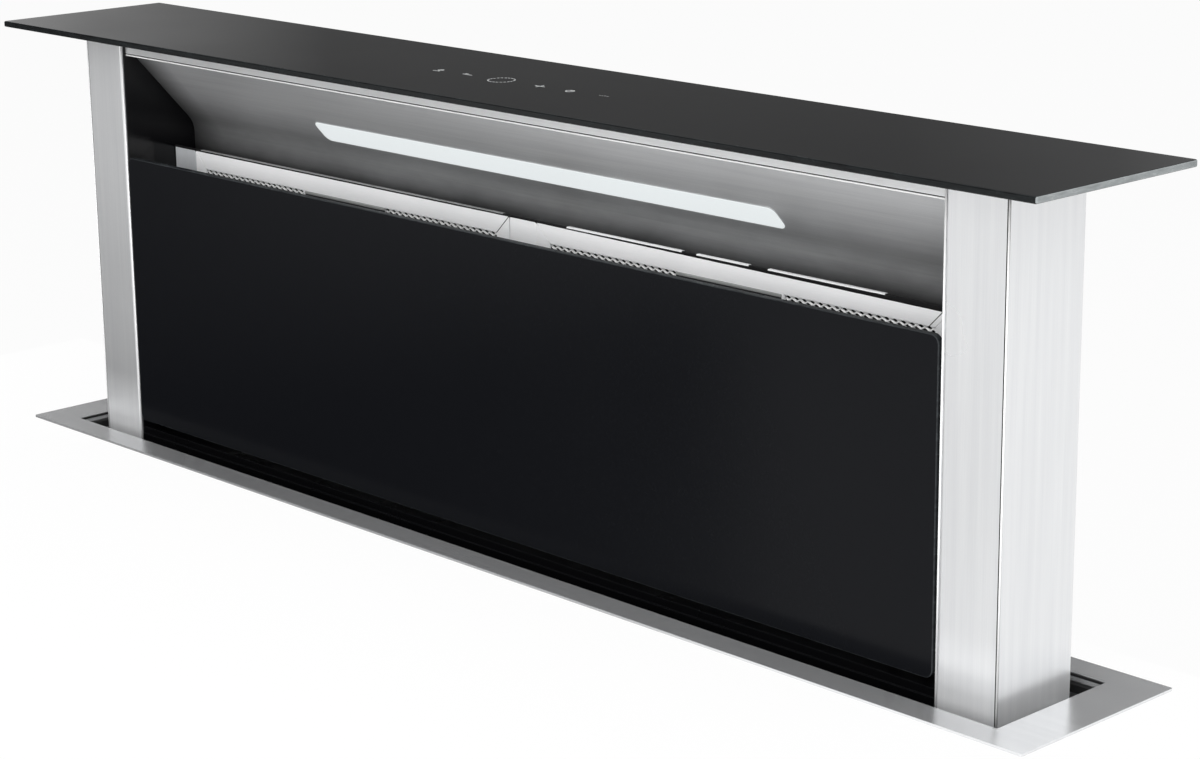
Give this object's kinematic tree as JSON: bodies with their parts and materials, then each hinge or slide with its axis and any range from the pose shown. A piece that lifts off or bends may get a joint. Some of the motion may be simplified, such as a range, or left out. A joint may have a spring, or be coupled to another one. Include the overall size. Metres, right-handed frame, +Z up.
{
  "type": "downdraft vent",
  "caption": "Pop-up downdraft vent: glass-topped steel tower with slanted lamp panel, mesh grease filters and tip-out front glass, rising from a worktop casing with its fan unit.",
  "frame": {"origin": "on the worktop's surface, at the middle of the slot that the tower rises from", "axes": "+X to the right along the vent, +Y to the back, away from the hob, +Z up"},
  "size_m": [0.9066, 0.2658, 1.03],
  "materials": {
    "brushed_steel": "satin, brushed lengthwise",
    "bright_steel": "satin",
    "galvanised": "zinc-coated sheet",
    "black_glass": "back-printed black, polished",
    "black_paint": "black gloss",
    "black_plastic": "matt moulded",
    "grey_plastic": "matt moulded",
    "aluminium": "satin, anodised",
    "lamp_white": "frosted diffuser",
    "motor_grey": "semi-matt"
  },
  "bodies": {
    "casing": {"worktop_trim": "brushed_steel", "clamp_front_left": "galvanised", "clamp_front_right": "galvanised", "clamp_back_left": "galvanised", "clamp_back_right": "galvanised", "casing_front": "galvanised", "casing_back": "galvanised", "casing_floor": "galvanised", "casing_side_left": "galvanised", "casing_side_right": "galvanised", "guide_rail_left": "galvanised", "guide_rail_right": "galvanised", "floor_bracket_left": "galvanised", "floor_bracket_right": "galvanised", "drive_tube_left": "motor_grey", "drive_tube_right": "motor_grey", "drive_gear_left": "black_plastic", "drive_gear_right": "black_plastic", "blower_housing": "grey_plastic", "blower_cover": "galvanised", "motor_flange": "motor_grey", "duct_collar": "black_plastic", "control_box": "black_plastic", "control_cover": "black_plastic", "cable_gland": "black_plastic"},
    "tower": {"drive_rod_left": "bright_steel", "drive_rod_right": "bright_steel", "column_left": "brushed_steel", "column_right": "brushed_steel", "column_cover_left": "brushed_steel", "column_cover_right": "brushed_steel", "inner_cheek_left": "black_paint", "inner_cheek_right": "black_paint", "glide_left": "black_plastic", "glide_right": "black_plastic", "lid_glass": "black_glass", "lid_carrier": "galvanised", "touch_module": "black_plastic", "header_rail": "bright_steel", "deflector_panel": "brushed_steel", "light_lens": "lamp_white", "light_housing": "aluminium", "back_panel": "brushed_steel", "lower_rail": "black_paint", "filter_ledge": "galvanised", "filter_post_left": "bright_steel", "filter_post_middle": "bright_steel", "filter_post_right": "bright_steel", "foot_beam": "galvanised"},
    "glass_door": {"front_glass": "black_glass", "glass_backing": "black_paint"},
    "filter_left": {"filter_frame_left": "aluminium", "filter_mesh_left": "aluminium"},
    "filter_right": {"filter_frame_right": "aluminium", "filter_mesh_right": "aluminium"},
    "fan_wheel": {"impeller": "black_plastic", "impeller_disc": "black_plastic", "motor_rotor": "motor_grey"},
    "flap_left": {"duct_flap_left": "grey_plastic"},
    "flap_right": {"duct_flap_right": "grey_plastic"}
  },
  "joints": [
    {"name": "tower_lift", "type": "slide", "parent": "casing", "child": "tower", "axis": [0, 0, 1], "range_m": [-0.28, 0]},
    {"name": "glass_door_tip", "type": "hinge", "parent": "tower", "child": "glass_door", "pos_m": [0, -0.0225, 0.015], "axis": [1, 0, 0], "range_deg": [0, 75]},
    {"name": "filter_left_tip", "type": "hinge", "parent": "tower", "child": "filter_left", "pos_m": [-0.175, 0.0095, 0.0044], "axis": [1, 0, 0], "range_deg": [0, 8]},
    {"name": "filter_right_tip", "type": "hinge", "parent": "tower", "child": "filter_right", "pos_m": [0.175, 0.0095, 0.0044], "axis": [1, 0, 0], "range_deg": [0, 8]},
    {"name": "fan_spin", "type": "hinge", "parent": "casing", "child": "fan_wheel", "pos_m": [-0.06, -0.12, -0.49], "axis": [0, 1, 0], "continuous": true},
    {"name": "flap_left_swing", "type": "hinge", "parent": "casing", "child": "flap_left", "pos_m": [0.025, -0.1128, -0.7123], "axis": [0, -1, 0], "range_deg": [0, 75], "stiffness_Nm_per_rad": 0.008, "springref_deg": -51.57},
    {"name": "flap_right_swing", "type": "hinge", "parent": "casing", "child": "flap_right", "pos_m": [0.025, -0.1128, -0.7123], "axis": [0, 1, 0], "range_deg": [0, 75], "stiffness_Nm_per_rad": 0.008, "springref_deg": -51.57}
  ]
}
